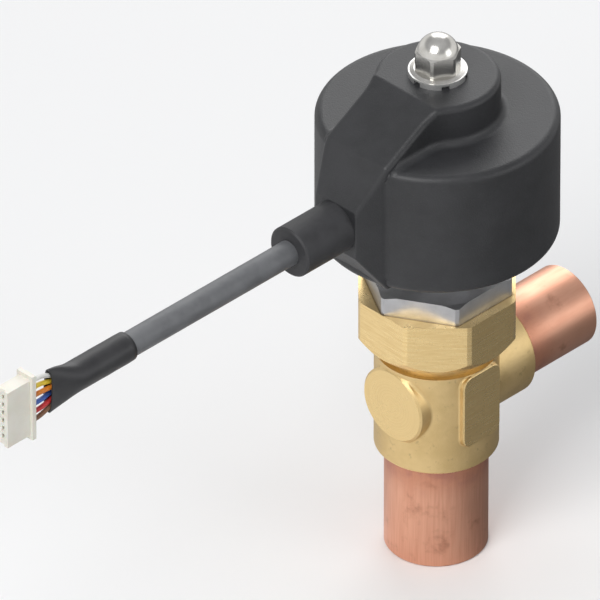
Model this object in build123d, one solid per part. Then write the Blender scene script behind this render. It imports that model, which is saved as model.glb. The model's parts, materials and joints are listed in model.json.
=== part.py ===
from build123d import *
from math import atan2, cos, degrees, pi, radians, sin, sqrt, tan
import os

# Electronic expansion valve with a stepper-motor coil. Millimetres.
# Origin: centre of the outlet stub's open end. +Z runs up the valve's axis, +X towards the inlet stub.
# The cable leaves the coil towards -X.

# Pipe stubs: copper, with solder sockets for standard tube
OUTLET_STUB_D = 28.0
OUTLET_STUB_LENGTH = 32.3
OUTLET_TUBE_D = 22.22
OUTLET_PASSAGE_D = 18.0
OUTLET_SEAT_DEPTH = 5.5
INLET_STUB_D = 23.1
INLET_STUB_LENGTH = 25.4
INLET_TUBE_D = 19.05
INLET_PASSAGE_D = 15.2
INLET_SEAT_DEPTH = 6.0
SOCKET_DEPTH = 20.0
SOLDER_GAP = 0.05
STUB_EDGE = 0.4

# Valve body: brass
BODY_D = 33.54
BODY_BARREL_HEIGHT = 30.9
BODY_EDGE = 0.5
NECK_D = 30.4
NECK_HEIGHT = 5.2
OCTAGON_SIDES = 8
OCTAGON_AF = 41.8
OCTAGON_HEIGHT = 14.7
OCTAGON_CORNER_CUT = 0.27
OCTAGON_CHAMFER = 1.7
OCTAGON_CHAMFER_HEIGHT = 2.4
PORT_RISE = 19.3
INLET_BOSS_D = 28.0
INLET_BOSS_REACH = 24.1
INLET_BOSS_EDGE = 0.8
ROUND_BOSS_D = 21.8
ROUND_BOSS_STAND_OUT = 0.23
ROUND_BOSS_EDGE = 0.64
ROUND_BOSS_COVE_R = 0.9
PAD_WIDTH = 13.8
PAD_HEIGHT = 22.5
PAD_CORNER_R = 3.0
PAD_STAND_OUT = 0.33
PAD_EDGE = 0.3
PAD_COVE_R = 0.6
CHAMBER_D = 24.0
THREAD_BORE_D = 29.0
THREAD_BORE_DEPTH = 13.3

# Orifice and needle: stainless steel
SEAT_RING_D = 22.0
SEAT_RING_HEIGHT = 4.5
SEAT_LIP_HEIGHT = 1.5
ORIFICE_D = 11.0
SEAT_CHAMFER = 0.6
NEEDLE_TRAVEL = 4.5
NEEDLE_SEAT_GAP = 0.3
NEEDLE_STEM_D = 10.0
NEEDLE_SHOULDER_D = 14.0
NEEDLE_SHOULDER_HEIGHT = 2.5
NEEDLE_SHOULDER_SLOPE = 1.0
NEEDLE_TIP_LENGTH = 6.8
NEEDLE_TIP_D = 5.0
NEEDLE_HEAD_D = 16.6
NEEDLE_HEAD_HEIGHT = 12.0
NEEDLE_HEAD_GAP = 0.5
NEEDLE_HEAD_FLOOR = 2.0
NEEDLE_GROOVE_WALL = 1.0
SCREW_WELL_DEPTH = 11.0
GUIDE_PIN_D = 1.2
GUIDE_PIN_RADIUS = 8.0
GUIDE_PIN_RISE = 16.5
GUIDE_PIN_FLOOR = 1.0

# Cartridge head: steel hexagon, screwed into the octagon
HEX_SIDES = 6
HEX_AF = 36.0
HEX_HEIGHT = 6.0
HEX_CORNER_CUT = 0.32
HEX_CHAMFER_D = 38.14
CORNER_CHAMFER_ANGLE = 30.0
COLLAR_D = 25.2
COLLAR_HEIGHT = 11.8
COLLAR_EDGE = 0.5
CARRIAGE_BORE_D = 17.6
GUIDE_POCKET_D = 14.4
GUIDE_POCKET_DEPTH = 5.3
O_RING_SECTION = 1.9
O_RING_SQUEEZE = 0.05
O_RING_RISE = 5.0

# Rotor can: stainless steel, drawn from sheet
CAN_D = 22.0
CAN_WALL = 0.5
CAN_FOOT_DEPTH = 2.0
CAN_STRAIGHT = 37.5
CAN_NOSE_D = 11.0
CAN_NOSE_HEIGHT = 5.5
CAN_SHOULDER = 2.0
UPPER_BUSH_ROOM = 1.0
STUD_D = 6.0
STUD_LENGTH = 16.9
STUD_EDGE = 0.6

# Rotor: magnet ring on a moulded hub, on the lead screw
MAGNET_D = 20.2
MAGNET_BORE_D = 15.0
MAGNET_HEIGHT = 26.0
MAGNET_RISE = 6.6
HUB_RIM_WALL = 1.3
HUB_BOSS_D = 8.4
HUB_BOSS_STAND = 2.0
HUB_WEB = 4.0
SPIGOT_D = 7.94
SCREW_D = 5.0
SCREW_FOOT_CLEARANCE = 1.5
SCREW_EDGE = 0.5
BEARING_D = 18.4
BEARING_BORE_D = 8.0
BEARING_HEIGHT = 4.0
BALL_D = 2.4
BALL_COUNT = 9
RACE_GAP = 2.2

# Coil housing: moulded plastic
COIL_D = 65.2
COIL_HEIGHT = 37.4
COIL_WALL = 2.6
COIL_EDGE_R = 2.2
COVE_R = 2.2
COIL_BORE_D = 22.4
COIL_NOSE_BORE_D = 12.4
STUD_HOLE_D = 6.6
HUB_D = 33.6
HUB_RISE = 11.5
ROOF_EDGE_R = 1.6
UNDER_EDGE_R = 0.7
SHOULDER_R = 12.4
BLOCK_WIDTH = 23.2
BLOCK_STAND_OUT = 5.65
BLOCK_FRONT_WIDTH = 15.1
BLOCK_CORNER_R = 7.0
BLOCK_EDGE_R = 0.7
ROOF_SETBACK = 4.7
ROOF_KNEE_RISE = 1.2
FRONT_TOP_DROP = 11.3
FRONT_HEIGHT = 14.6

# Stator: two units, each a cup yoke and a plate yoke with interleaved claw poles round a wound bobbin
STATOR_HEIGHT = 31.0
STATOR_RISE = 3.1
YOKE_SHEET = 1.2
POLE_COUNT = 12
POLE_ROOT_ANGLE = 12.0
POLE_TIP_ANGLE = 7.0
POLE_THICKNESS = 1.0
POLE_TIP_GAP = 1.6
BOBBIN_WALL = 0.8
WINDING_ROOM = 2.5
MOULD_GAP = 0.1
LUG_WIDTH = 9.0
LUG_HEIGHT = 2.2
LUG_STAND_OUT = 1.6
LUG_PIN_DEPTH = 2.0

# Terminal board and its pins
BOARD_WIDTH = 10.0
BOARD_HEIGHT = 12.0
BOARD_THICKNESS = 1.6
BOARD_GAP = 1.4
PIN_D = 0.8
PIN_PITCH = 2.54
PIN_STAND_OUT = 0.6
BLOCK_POCKET_WALL = 2.1

# Gasket under the coil, cap nut and washer on top
GASKET_HEIGHT = 1.0
WASHER_D = 15.8
WASHER_HEIGHT = 1.7
WASHER_NOTCH_COUNT = 6
WASHER_NOTCH_WIDTH = 2.2
WASHER_NOTCH_DEPTH = 1.3
WASHER_NOTCH_HEIGHT = 1.2
NUT_SIDES = 6
NUT_AF = 11.2
NUT_FLANGE_D = 15.0
NUT_FLANGE_HEIGHT = 0.4
NUT_HEX_HEIGHT = 5.9
NUT_DOME_D = 11.0
NUT_DOME_HEIGHT = 4.3
NUT_CORNER_CUT = 0.25
NUT_FLANGE_STEP = 0.2
NUT_THREAD_DEPTH = 9.0

# Cable, sleeve, lead wires and connector
CABLE_DROP = 18.7
GLAND_D = 14.4
GLAND_LENGTH = 17.3
GLAND_EDGE = 0.5
GLAND_SPIGOT_D = 8.0
CABLE_D = 7.1
CABLE_VISIBLE = 60.25
CABLE_IN_SLEEVE = 14.2
SLEEVE_WALL = 0.5
SLEEVE_FIT = 0.15
SLEEVE_STRAIGHT = 18.7
SLEEVE_FLARE = 10.1
SLEEVE_MOUTH_HEIGHT = 14.0
SLEEVE_MOUTH_WIDTH = 3.6
WIRE_D = 1.35
WIRE_GAP = 0.05
WIRE_COUNT = 6
WIRE_STRAIGHT = 4.0
WIRE_FAN_LENGTH = 15.0
WIRE_END = 2.8
WIRE_BEND_R = 6.75
WAY_PITCH = 2.5
FLANGE_HEIGHT = 20.1
FLANGE_WIDTH = 5.8
FLANGE_THICKNESS = 1.4
NOSE_HEIGHT = 17.5
NOSE_WIDTH = 4.2
NOSE_LENGTH = 8.3
NOSE_STEP = 0.6
NOSE_RIB_WIDTH = 1.3
WAY_OPENING_HEIGHT = 1.5
WAY_OPENING_WIDTH = 1.2
CONTACT_SIDE = 1.5
CONTACT_LENGTH = 6.5
CONTACT_SHEET = 0.25
CONTACT_BACK = 1.5
FRONT_WALL = 0.6

# Fits, radial
PRESS_FIT = 0.03
RUNNING_FIT = 0.05
LOOSE_FIT = 0.3

# Places closer than this are the same place
NEAR = 0.01

# A flat face looks up or down if its normal leans by more than this part of one
LEAN = 0.3

# How far along an edge its sample point lies
SAMPLE_PLACE = 0.37

# Heights of the main stack, from the outlet's end upwards
body_z = OUTLET_STUB_LENGTH
barrel_top_z = body_z + BODY_BARREL_HEIGHT
octagon_z = barrel_top_z + NECK_HEIGHT
hex_z = octagon_z + OCTAGON_HEIGHT
collar_z = hex_z + HEX_HEIGHT
gasket_z = collar_z + COLLAR_HEIGHT
coil_z = gasket_z + GASKET_HEIGHT
coil_top_z = coil_z + COIL_HEIGHT
hub_top_z = coil_top_z + HUB_RISE
washer_top_z = hub_top_z + WASHER_HEIGHT
port_z = body_z + PORT_RISE
cable_z = coil_top_z - CABLE_DROP

# Heights inside the body and the cartridge
lip_z = body_z + OUTLET_SEAT_DEPTH
seat_z = lip_z + SEAT_LIP_HEIGHT
seat_top_z = seat_z + SEAT_RING_HEIGHT
shank_z = hex_z - THREAD_BORE_DEPTH + RUNNING_FIT
guide_top_z = shank_z + GUIDE_POCKET_DEPTH
needle_head_z = guide_top_z + NEEDLE_HEAD_GAP
needle_top_z = needle_head_z + NEEDLE_HEAD_HEIGHT
nut_z = needle_head_z + NEEDLE_HEAD_FLOOR
guide_pin_z = shank_z + GUIDE_PIN_FLOOR
can_z = gasket_z - CAN_FOOT_DEPTH
bearing_z = can_z - BEARING_HEIGHT
can_straight_z = can_z + CAN_STRAIGHT
can_nose_z = can_straight_z + CAN_SHOULDER
can_top_z = can_nose_z + CAN_NOSE_HEIGHT
magnet_z = can_z + MAGNET_RISE
magnet_top_z = magnet_z + MAGNET_HEIGHT
stator_z = coil_z + STATOR_RISE
unit_height = (STATOR_HEIGHT - MOULD_GAP) / 2
stator_middle_z = stator_z + STATOR_HEIGHT / 2

# Sizes across the body and the coil, from the wall inwards and outwards
round_boss_reach = BODY_D / 2 + ROUND_BOSS_STAND_OUT
pad_reach = BODY_D / 2 + PAD_STAND_OUT
stator_d = COIL_D - 2 * COIL_WALL
winding_d = stator_d - 2 * WINDING_ROOM
lug_reach = stator_d / 2 + LUG_STAND_OUT
board_reach = lug_reach + BOARD_GAP + BOARD_THICKNESS
block_reach = COIL_D / 2 + BLOCK_STAND_OUT
roof_start = HUB_D / 2 - ROOF_SETBACK

# Where the block's walls leave the drum, and places along the cable, towards -X
taper_x = -sqrt((COIL_D / 2) ** 2 - (BLOCK_WIDTH / 2) ** 2)
gland_end_x = -block_reach - GLAND_LENGTH
sleeve_x = gland_end_x - CABLE_VISIBLE
jacket_end_x = sleeve_x - CABLE_IN_SLEEVE
flare_x = sleeve_x - SLEEVE_STRAIGHT
mouth_x = flare_x - SLEEVE_FLARE
connector_x = jacket_end_x - WIRE_STRAIGHT - WIRE_FAN_LENGTH - WIRE_END
flange_front_x = connector_x - FLANGE_THICKNESS
nose_front_x = flange_front_x - NOSE_LENGTH
nose_face_x = nose_front_x + NOSE_STEP
contact_x = nose_face_x + FRONT_WALL + CONTACT_LENGTH


def rod(diameter, low, high):
    """A cylinder on the valve's axis between two heights."""
    return Pos(0, 0, low) * Cylinder(diameter / 2, high - low, align=(Align.CENTER, Align.CENTER, Align.MIN))


def ring(outer, inner, low, high):
    """A plain ring on the valve's axis."""
    return rod(outer, low, high) - rod(inner, low, high)


def rod_x(diameter, start, end, height, y=0.0):
    """A cylinder along X between two places, at a height."""
    length = abs(end - start)
    middle = (start + end) / 2
    return Pos(middle, y, height) * Rot(0, 90, 0) * Cylinder(diameter / 2, length)


def block(x_low, x_high, y_low, y_high, z_low, z_high):
    """A box between two corners."""
    corner = Pos(x_low, y_low, z_low)
    return corner * Box(x_high - x_low, y_high - y_low, z_high - z_low, align=(Align.MIN,) * 3)


def turned(*corners):
    """A solid turned about Z from its (radius, height) corners."""
    return revolve(Plane.XZ * make_face(Polyline(*corners, close=True)), Axis.Z)


def prism(across_flats, sides, turn, low, high):
    """A regular prism on the valve's axis, with a corner at the angle turn."""
    outline = RegularPolygon(across_flats / 2, sides, major_radius=False, rotation=turn)
    return Pos(0, 0, low) * extrude(outline, high - low)


def corner_radius(across_flats, sides, cut):
    """The radius that a regular prism's corners are turned down to."""
    return across_flats / 2 / cos(pi / sides) - cut


def copies_about_axis(shape, count):
    """The shape, repeated evenly about Z."""
    return [Rot(0, 0, 360 / count * i) * shape for i in range(count)]


def make_stub(diameter, socket_d, passage_d, length, seat_depth):
    """A stub upright on Z: solder socket at the open end, plain tail that goes into the body."""
    total = length + seat_depth
    stub = rod(diameter, 0, total)
    stub = chamfer(stub.edges().group_by(Axis.Z)[0], STUB_EDGE)
    return stub - rod(socket_d, 0, SOCKET_DEPTH) - rod(passage_d, SOCKET_DEPTH, total)


def make_outlet_stub():
    socket_d = OUTLET_TUBE_D + 2 * SOLDER_GAP
    return make_stub(OUTLET_STUB_D, socket_d, OUTLET_PASSAGE_D, OUTLET_STUB_LENGTH, OUTLET_SEAT_DEPTH)


def make_inlet_stub():
    socket_d = INLET_TUBE_D + 2 * SOLDER_GAP
    stub = make_stub(INLET_STUB_D, socket_d, INLET_PASSAGE_D, INLET_STUB_LENGTH, INLET_SEAT_DEPTH)
    return Pos(INLET_BOSS_REACH + INLET_STUB_LENGTH, 0, port_z) * Rot(0, -90, 0) * stub


def meeting_edges(first, second, whole):
    """The edges of a whole that neither of its two solids has: the ones along which they meet."""
    own = first.edges() + second.edges()
    return [edge for edge in whole.edges() if all(old.distance_to(edge @ SAMPLE_PLACE) > NEAR for old in own)]


def on_barrel(boss, limit, cove_r):
    """A boss with a cove round its root and the barrel behind it, kept inside a limit and the barrel's height."""
    longer_barrel = rod(BODY_D, 0, coil_z)
    rooted = fillet(meeting_edges(longer_barrel, boss, longer_barrel + boss), cove_r)
    return rooted & limit & rod(2 * BODY_D, body_z, barrel_top_z)


def make_round_boss():
    """The round boss, cut back from a longer one so that its cove runs out where it hardly stands proud."""
    radius = ROUND_BOSS_D / 2
    grown = 2 * ROUND_BOSS_COVE_R
    limit = turned(
        (0, 0),
        (radius + grown, 0),
        (radius + grown, round_boss_reach - ROUND_BOSS_EDGE - grown),
        (radius - ROUND_BOSS_EDGE, round_boss_reach),
        (0, round_boss_reach),
    )
    longer = rod_x(ROUND_BOSS_D, -round_boss_reach - grown, 0, port_z)
    return on_barrel(longer, Pos(0, 0, port_z) * Rot(0, -90, 0) * limit, ROUND_BOSS_COVE_R)


def make_pad():
    """The flat pad, cut back from a longer one in the same way."""
    grown = 2 * PAD_COVE_R
    slope_start = pad_reach - PAD_EDGE - grown
    back = pad_outline(grown)
    limit = extrude(Plane.XZ * back, slope_start)
    limit += loft([Plane.XZ.offset(slope_start) * back, Plane.XZ.offset(pad_reach) * pad_outline(-PAD_EDGE)])
    longer = extrude(Plane.XZ * pad_outline(0), pad_reach + grown)
    return on_barrel(Pos(0, 0, port_z) * longer, Pos(0, 0, port_z) * limit, PAD_COVE_R)


def pad_outline(grown):
    """The pad's rounded rectangle, grown all round."""
    return RectangleRounded(PAD_WIDTH + 2 * grown, PAD_HEIGHT + 2 * grown, PAD_CORNER_R + grown)


def make_body_outside():
    """Barrel, undercut neck and octagon head with the inlet boss, the round boss and the pad."""
    barrel = rod(BODY_D, body_z, barrel_top_z)
    barrel = chamfer(barrel.edges().group_by(Axis.Z)[0], BODY_EDGE)
    neck = rod(NECK_D, barrel_top_z, octagon_z)
    corner = corner_radius(OCTAGON_AF, OCTAGON_SIDES, OCTAGON_CORNER_CUT)
    limit = turned(
        (0, octagon_z),
        (corner - OCTAGON_CHAMFER, octagon_z),
        (corner, octagon_z + OCTAGON_CHAMFER_HEIGHT),
        (corner, hex_z),
        (0, hex_z),
    )
    octagon = prism(OCTAGON_AF, OCTAGON_SIDES, 180 / OCTAGON_SIDES, octagon_z, hex_z) & limit
    inlet_boss = rod_x(INLET_BOSS_D, 0, INLET_BOSS_REACH, port_z)
    inlet_boss = chamfer(inlet_boss.edges().group_by(Axis.X)[-1], INLET_BOSS_EDGE)
    return barrel + neck + octagon + inlet_boss + make_round_boss() + make_pad()


def make_valve_body():
    outlet_seat = rod(OUTLET_STUB_D + 2 * SOLDER_GAP, body_z, lip_z)
    lip = rod(OUTLET_PASSAGE_D, lip_z, seat_z)
    seat_pocket = rod(SEAT_RING_D, seat_z, seat_top_z)
    chamber = rod(CHAMBER_D, seat_top_z, hex_z - THREAD_BORE_DEPTH)
    thread_bore = rod(THREAD_BORE_D, hex_z - THREAD_BORE_DEPTH, hex_z)
    inlet_seat_x = INLET_BOSS_REACH - INLET_SEAT_DEPTH
    inlet_seat = rod_x(INLET_STUB_D + 2 * SOLDER_GAP, inlet_seat_x, INLET_BOSS_REACH, port_z)
    passage = rod_x(INLET_PASSAGE_D, 0, inlet_seat_x, port_z)
    body = make_body_outside()
    for hollow in (outlet_seat, lip, seat_pocket, chamber, thread_bore, inlet_seat, passage):
        body -= hollow
    return body


def make_seat_ring():
    """The orifice, with a small cone where the needle closes."""
    outside = SEAT_RING_D / 2 - PRESS_FIT
    hole = ORIFICE_D / 2
    return turned(
        (hole, seat_z),
        (outside, seat_z),
        (outside, seat_top_z),
        (hole + SEAT_CHAMFER, seat_top_z),
        (hole, seat_top_z - SEAT_CHAMFER),
    )


def make_cartridge_head():
    """Threaded shank, hexagon and the collar that the coil stands on, bored for the needle and the bearing."""
    shank = rod(THREAD_BORE_D - 2 * RUNNING_FIT, shank_z, hex_z)
    corner = corner_radius(HEX_AF, HEX_SIDES, HEX_CORNER_CUT)
    drop = (corner - HEX_CHAMFER_D / 2) * tan(radians(CORNER_CHAMFER_ANGLE))
    limit = turned(
        (0, hex_z), (corner, hex_z), (corner, collar_z - drop), (HEX_CHAMFER_D / 2, collar_z), (0, collar_z)
    )
    hexagon = prism(HEX_AF, HEX_SIDES, 0, hex_z, collar_z) & limit
    collar = rod(COLLAR_D, collar_z, gasket_z)
    collar = chamfer(collar.edges().group_by(Axis.Z)[-1], COLLAR_EDGE)
    groove_z = shank_z + O_RING_RISE
    groove = ring(THREAD_BORE_D, THREAD_BORE_D - 2 * O_RING_SECTION, groove_z, groove_z + o_ring_width())
    head = shank + hexagon + collar - groove
    head -= rod(GUIDE_POCKET_D, shank_z, guide_top_z)
    head -= rod(CARRIAGE_BORE_D, guide_top_z, bearing_z)
    head -= rod(BEARING_D, bearing_z, can_z)
    head -= rod(CAN_D, can_z, gasket_z)
    return head - guide_pin_hole()


def o_ring_width():
    return O_RING_SECTION + 2 * LOOSE_FIT


def guide_pin_hole():
    hole_d = GUIDE_PIN_D + 2 * PRESS_FIT
    return Pos(-GUIDE_PIN_RADIUS, 0, 0) * rod(hole_d, guide_pin_z, guide_top_z)


def make_o_ring():
    section = O_RING_SECTION / 2 - O_RING_SQUEEZE
    middle = THREAD_BORE_D / 2 - O_RING_SECTION / 2
    return Pos(0, 0, shank_z + O_RING_RISE + o_ring_width() / 2) * Torus(middle, section)


def make_guide_bush():
    return ring(GUIDE_POCKET_D - 2 * PRESS_FIT, NEEDLE_STEM_D + 2 * RUNNING_FIT, shank_z, guide_top_z)


def make_anti_rotation_pin():
    return Pos(-GUIDE_PIN_RADIUS, 0, 0) * rod(GUIDE_PIN_D, guide_pin_z, guide_top_z + GUIDE_PIN_RISE)


def make_needle():
    """Shaped tip, shoulder over the seat, guided stem and a slotted head that holds the nut."""
    shoulder_z = seat_top_z + NEEDLE_SEAT_GAP
    plug = ORIFICE_D / 2 - NEEDLE_SEAT_GAP
    stem = NEEDLE_STEM_D / 2
    head = NEEDLE_HEAD_D / 2
    tip_z = shoulder_z - NEEDLE_TIP_LENGTH
    neck_z = shoulder_z + NEEDLE_SHOULDER_HEIGHT
    needle = turned(
        (0, tip_z),
        (NEEDLE_TIP_D / 2, tip_z),
        (plug, seat_top_z - SEAT_CHAMFER),
        (plug, shoulder_z),
        (NEEDLE_SHOULDER_D / 2, shoulder_z),
        (NEEDLE_SHOULDER_D / 2, neck_z - NEEDLE_SHOULDER_SLOPE),
        (stem, neck_z),
        (stem, needle_head_z),
        (head, needle_head_z),
        (head, needle_top_z),
        (0, needle_top_z),
    )
    well_d = SCREW_D + 2 * LOOSE_FIT
    needle -= rod(well_d, needle_head_z - SCREW_WELL_DEPTH, nut_z)
    needle -= rod(nut_d(), nut_z, needle_top_z)
    groove = Pos(-GUIDE_PIN_RADIUS, 0, 0) * rod(GUIDE_PIN_D + 2 * LOOSE_FIT, needle_head_z, needle_top_z)
    return needle - groove


def nut_d():
    """The nut leaves a wall between itself and the groove of the anti-rotation pin."""
    return 2 * (GUIDE_PIN_RADIUS - GUIDE_PIN_D / 2 - LOOSE_FIT - NEEDLE_GROOVE_WALL)


def make_screw_nut():
    return ring(nut_d() - 2 * PRESS_FIT, SCREW_D + 2 * RUNNING_FIT, nut_z, needle_top_z)


def make_lead_screw():
    foot_z = needle_head_z - SCREW_WELL_DEPTH + NEEDLE_TRAVEL + SCREW_FOOT_CLEARANCE
    screw = rod(SCREW_D, foot_z, can_top_z - CAN_WALL - LOOSE_FIT)
    return chamfer(screw.edges().group_by(Axis.Z)[0] + screw.edges().group_by(Axis.Z)[-1], SCREW_EDGE)


def make_rotor_can():
    """A stepped sleeve, closed at the top, with its foot in the cartridge head."""

    def profile(inset):
        return [
            (0, can_z),
            (CAN_D / 2 - PRESS_FIT - inset, can_z),
            (CAN_D / 2 - PRESS_FIT - inset, can_straight_z - inset),
            (CAN_NOSE_D / 2 - inset, can_nose_z - inset),
            (CAN_NOSE_D / 2 - inset, can_top_z - inset),
            (0, can_top_z - inset),
        ]

    return turned(*profile(0)) - turned(*profile(CAN_WALL))


def make_can_stud():
    stud = rod(STUD_D, can_top_z, can_top_z + STUD_LENGTH)
    return chamfer(stud.edges().group_by(Axis.Z)[-1], STUD_EDGE)


def make_upper_bush():
    outer = CAN_NOSE_D - 2 * CAN_WALL - 2 * PRESS_FIT
    return ring(outer, SCREW_D + 2 * RUNNING_FIT, can_nose_z, can_top_z - CAN_WALL - UPPER_BUSH_ROOM)


def race_radius():
    return (BEARING_D + BEARING_BORE_D) / 4


def race_groove():
    return Pos(0, 0, bearing_z + BEARING_HEIGHT / 2) * Torus(race_radius(), BALL_D / 2 + RUNNING_FIT)


def make_bearing_outer_race():
    inner = 2 * race_radius() + RACE_GAP
    return ring(BEARING_D - 2 * PRESS_FIT, inner, bearing_z, can_z) - race_groove()


def make_bearing_inner_race():
    outer = 2 * race_radius() - RACE_GAP
    return ring(outer, BEARING_BORE_D, bearing_z, can_z) - race_groove()


def make_bearing_balls():
    ball = Pos(race_radius(), 0, bearing_z + BEARING_HEIGHT / 2) * Sphere(BALL_D / 2)
    return Compound(children=copies_about_axis(ball, BALL_COUNT))


def make_rotor_hub():
    """Boss on the screw, web and rim, with a spigot in the lower bearing."""
    rim = ring(MAGNET_BORE_D - 2 * PRESS_FIT, MAGNET_BORE_D - 2 * HUB_RIM_WALL, magnet_z, magnet_top_z)
    middle = (magnet_z + magnet_top_z) / 2
    web = rod(MAGNET_BORE_D - HUB_RIM_WALL, middle - HUB_WEB / 2, middle + HUB_WEB / 2)
    boss = rod(HUB_BOSS_D, can_z, magnet_top_z + HUB_BOSS_STAND)
    spigot = rod(SPIGOT_D, bearing_z, can_z)
    return rim + web + boss + spigot - rod(SCREW_D + 2 * PRESS_FIT, bearing_z, magnet_top_z + HUB_BOSS_STAND)


def make_rotor_magnet():
    return ring(MAGNET_D, MAGNET_BORE_D, magnet_z, magnet_top_z)


def make_coil_gasket():
    return ring(COLLAR_D, COIL_BORE_D, gasket_z, coil_z)


def crown_outline():
    """Plan of the raised hub, its S-curved shoulders and the cable block, as one face."""
    hub = HUB_D / 2
    half = BLOCK_WIDTH / 2
    centre_y = half + SHOULDER_R
    reach = hub + SHOULDER_R
    centre_x = -sqrt(reach**2 - centre_y**2)
    touch = Vector(centre_x, centre_y) * (hub / reach)
    bisector = radians((degrees(atan2(touch.Y - centre_y, touch.X - centre_x)) - 90) / 2)
    middle = Vector(centre_x + SHOULDER_R * cos(bisector), centre_y + SHOULDER_R * sin(bisector))
    upper = [
        ThreePointArc((hub, 0), (hub * cos(radians(60)), hub * sin(radians(60))), touch),
        ThreePointArc(touch, middle, (centre_x, half)),
        Line((centre_x, half), (taper_x, half)),
        Line((taper_x, half), (-block_reach, BLOCK_FRONT_WIDTH / 2)),
    ]
    lower = [mirror(edge, Plane.XZ) for edge in upper]
    front = Line((-block_reach, BLOCK_FRONT_WIDTH / 2), (-block_reach, -BLOCK_FRONT_WIDTH / 2))
    outline = make_face(upper + lower + [front])
    corners = outline.vertices().filter_by_position(Axis.X, taper_x - NEAR, taper_x + NEAR)
    return fillet(corners, BLOCK_CORNER_R)


def crown_side(inset=0.0):
    """Side view of hub and cable block, drawn out wide: flat top, two slopes, upright front, undercut."""
    front_top = COIL_HEIGHT - FRONT_TOP_DROP
    corners = [
        (HUB_D, 0),
        (HUB_D, COIL_HEIGHT + HUB_RISE),
        (-roof_start, COIL_HEIGHT + HUB_RISE),
        (taper_x, COIL_HEIGHT + ROOF_KNEE_RISE),
        (-block_reach, front_top),
        (-block_reach, front_top - FRONT_HEIGHT),
        (taper_x, 0),
    ]
    view = make_face(Polyline(*corners, close=True))
    if inset:
        view = offset(view, -inset)
    return extrude(Plane.XZ * view, HUB_D, both=True)


def make_tall_crown():
    """The plan of hub and block, straight up."""
    return extrude(crown_outline(), COIL_HEIGHT + HUB_RISE)


def edges_facing(crown, wanted):
    """The edges of the crown's flat faces that look the wanted way, without the front's and the foot's."""
    faces = [face for face in crown.faces().filter_by(GeomType.PLANE) if wanted(face.normal_at())]
    edges = {hash(edge): edge for face in faces for edge in face.edges()}.values()
    return [e for e in edges if e.center().X > -block_reach + NEAR and e.bounding_box().max.Z > NEAR]


def make_crown():
    """The raised hub with its block, rounded along the roof and the undercut, and less round the front."""
    crown = make_tall_crown() & crown_side()
    crown = fillet(edges_facing(crown, lambda normal: normal.Z > LEAN), ROOF_EDGE_R)
    crown = fillet(edges_facing(crown, lambda normal: normal.Z < -LEAN), UNDER_EDGE_R)
    return fillet(crown.faces().sort_by(Axis.X)[0].edges(), BLOCK_EDGE_R)


def make_drum():
    """The round coil body."""
    drum = rod(COIL_D, 0, COIL_HEIGHT)
    return fillet(drum.edges().filter_by(GeomType.CIRCLE), COIL_EDGE_R)


def make_coves():
    """Drum and crown with a cove where they meet, kept back from the crown's rounded edges."""
    drum = make_drum()
    crown = make_tall_crown()
    meeting = meeting_edges(drum, crown, drum + crown)
    above_foot = [edge for edge in meeting if edge.bounding_box().max.Z > COIL_EDGE_R + NEAR]
    return fillet(above_foot, COVE_R) & crown_side(ROOF_EDGE_R)


def make_coil_outside():
    """Drum, crown and coves, standing on Z = 0."""
    half = BLOCK_WIDTH / 2
    over = block(-block_reach, -roof_start, -half, half, COIL_HEIGHT - CABLE_DROP, COIL_HEIGHT + HUB_RISE)
    return make_drum() - (over - crown_side()) + make_crown() + make_coves()


def make_coil_housing():
    """Drum, hub and cable block, hollow for the rotor can, the stator, the terminal board and the gland."""
    housing = Pos(0, 0, coil_z) * make_coil_outside()
    stator_r = stator_d / 2 + MOULD_GAP
    half_width = BOARD_WIDTH / 2 + MOULD_GAP
    half_height = BOARD_HEIGHT / 2 + MOULD_GAP
    hollows = [
        rod(COIL_BORE_D, coil_z, can_nose_z + LOOSE_FIT),
        rod(COIL_NOSE_BORE_D, can_nose_z, can_top_z + LOOSE_FIT),
        rod(STUD_HOLE_D, can_top_z, hub_top_z),
        rod(2 * stator_r, stator_z - MOULD_GAP, stator_z + STATOR_HEIGHT + MOULD_GAP),
        block(
            -block_reach + BLOCK_POCKET_WALL,
            -stator_d / 2 + YOKE_SHEET,
            -half_width,
            half_width,
            stator_middle_z - half_height,
            stator_middle_z + half_height,
        ),
        rod_x(GLAND_SPIGOT_D + 2 * MOULD_GAP, -block_reach, -block_reach + BLOCK_POCKET_WALL, cable_z),
    ]
    for hollow in hollows:
        housing -= hollow
    return housing


def claw_poles(low, high, turn):
    """A ring of tapering poles that stand on a yoke at low and end at high, which may lie below it."""
    inner = COIL_BORE_D / 2 + MOULD_GAP
    root = inner * tan(radians(POLE_ROOT_ANGLE / 2))
    tip = inner * tan(radians(POLE_TIP_ANGLE / 2))
    outline = Polyline((-root, low), (root, low), (tip, high), (-tip, high), close=True)
    blank = extrude(Plane.YZ * make_face(outline), inner + 2 * POLE_THICKNESS)
    band = ring(2 * (inner + POLE_THICKNESS), 2 * inner, min(low, high), max(low, high))
    return [Rot(0, 0, turn) * pole for pole in copies_about_axis(blank & band, POLE_COUNT)]


def yoke_disc(low):
    return ring(stator_d, COIL_BORE_D + 2 * MOULD_GAP, low, low + YOKE_SHEET)


def lug_top():
    """Height of a bobbin's upper flange above the foot of its stator unit."""
    return unit_height - YOKE_SHEET - MOULD_GAP


def make_cup_yoke():
    """Bottom disc, outer wall with a notch for the bobbin's lug, and claw poles, standing on Z = 0."""
    wall = ring(stator_d, stator_d - 2 * YOKE_SHEET, 0, unit_height - YOKE_SHEET)
    yoke = yoke_disc(0) + wall + claw_poles(0, unit_height - YOKE_SHEET - POLE_TIP_GAP, 0)
    half = LUG_WIDTH / 2 + LOOSE_FIT
    notch_z = lug_top() - LUG_HEIGHT - LOOSE_FIT
    return yoke - block(-stator_d, -stator_d / 4, -half, half, notch_z, unit_height)


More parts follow.
